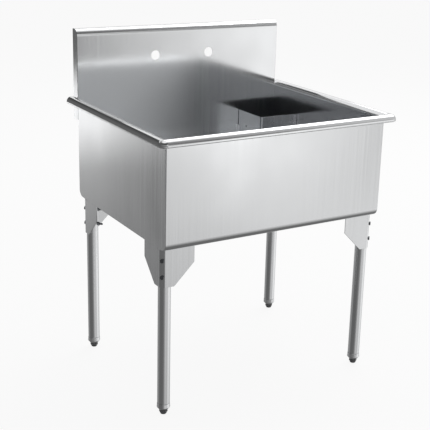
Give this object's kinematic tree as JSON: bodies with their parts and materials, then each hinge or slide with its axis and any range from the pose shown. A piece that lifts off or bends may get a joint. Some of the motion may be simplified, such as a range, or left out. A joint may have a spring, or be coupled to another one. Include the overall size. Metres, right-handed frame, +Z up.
{
  "type": "utility laundry sink",
  "caption": "Free-standing stainless laundry sink: one deep bowl with a rolled rim and tall splash, round legs on gussets, screw feet and a lift-out drain guard.",
  "frame": {"origin": "on the floor, under the middle of the sink seen from above", "axes": "+X to the right of a person at the sink, +Y towards the wall behind it, +Z up"},
  "size_m": [0.8256, 0.6828, 1.08],
  "materials": {
    "stainless_sheet": "brushed stainless sheet with a fine upright grain",
    "leg_tube": "polished stainless tube",
    "plated_steel": "dull zinc-plated steel",
    "drain_chrome": "polished stainless drain fittings",
    "foot_plastic": "dark grey moulded plastic",
    "gasket_rubber": "black rubber"
  },
  "bodies": {
    "sink": {"tub_wrap": "stainless_sheet", "left_end_panel": "stainless_sheet", "right_end_panel": "stainless_sheet", "rolled_rim": "stainless_sheet", "backsplash": "stainless_sheet", "gusset_front_left": "stainless_sheet", "leg_front_left": "leg_tube", "socket_front_left": "plated_steel", "bolt_front_left_lower": "plated_steel", "nut_front_left_lower": "plated_steel", "bolt_front_left_upper": "plated_steel", "nut_front_left_upper": "plated_steel", "gusset_front_right": "stainless_sheet", "leg_front_right": "leg_tube", "socket_front_right": "plated_steel", "bolt_front_right_lower": "plated_steel", "nut_front_right_lower": "plated_steel", "bolt_front_right_upper": "plated_steel", "nut_front_right_upper": "plated_steel", "gusset_back_left": "stainless_sheet", "leg_back_left": "leg_tube", "socket_back_left": "plated_steel", "bolt_back_left_lower": "plated_steel", "nut_back_left_lower": "plated_steel", "bolt_back_left_upper": "plated_steel", "nut_back_left_upper": "plated_steel", "gusset_back_right": "stainless_sheet", "leg_back_right": "leg_tube", "socket_back_right": "plated_steel", "bolt_back_right_lower": "plated_steel", "nut_back_right_lower": "plated_steel", "bolt_back_right_upper": "plated_steel", "nut_back_right_upper": "plated_steel", "guard_channel_back": "stainless_sheet", "guard_channel_side": "stainless_sheet", "drain_body": "drain_chrome", "drain_gasket": "gasket_rubber", "drain_locknut": "plated_steel", "coupling_nut": "plated_steel", "drain_tailpiece": "drain_chrome"},
    "screw_foot_front_left": {"foot_front_left": "foot_plastic"},
    "screw_foot_front_right": {"foot_front_right": "foot_plastic"},
    "screw_foot_back_left": {"foot_back_left": "foot_plastic"},
    "screw_foot_back_right": {"foot_back_right": "foot_plastic"},
    "drain_guard": {"corner_guard": "stainless_sheet"},
    "strainer": {"strainer_basket": "drain_chrome"}
  },
  "joints": [
    {"name": "foot_front_left_screws_down", "type": "slide", "parent": "sink", "child": "screw_foot_front_left", "axis": [0, 0, -1], "range_m": [0, 0.025]},
    {"name": "foot_front_right_screws_down", "type": "slide", "parent": "sink", "child": "screw_foot_front_right", "axis": [0, 0, -1], "range_m": [0, 0.025]},
    {"name": "foot_back_left_screws_down", "type": "slide", "parent": "sink", "child": "screw_foot_back_left", "axis": [0, 0, -1], "range_m": [0, 0.025]},
    {"name": "foot_back_right_screws_down", "type": "slide", "parent": "sink", "child": "screw_foot_back_right", "axis": [0, 0, -1], "range_m": [0, 0.025]},
    {"name": "drain_guard_lifts", "type": "slide", "parent": "sink", "child": "drain_guard", "axis": [0, 0, 1], "range_m": [0, 0.24]},
    {"name": "strainer_lifts", "type": "slide", "parent": "sink", "child": "strainer", "axis": [0, 0, 1], "range_m": [0, 0.06]}
  ]
}
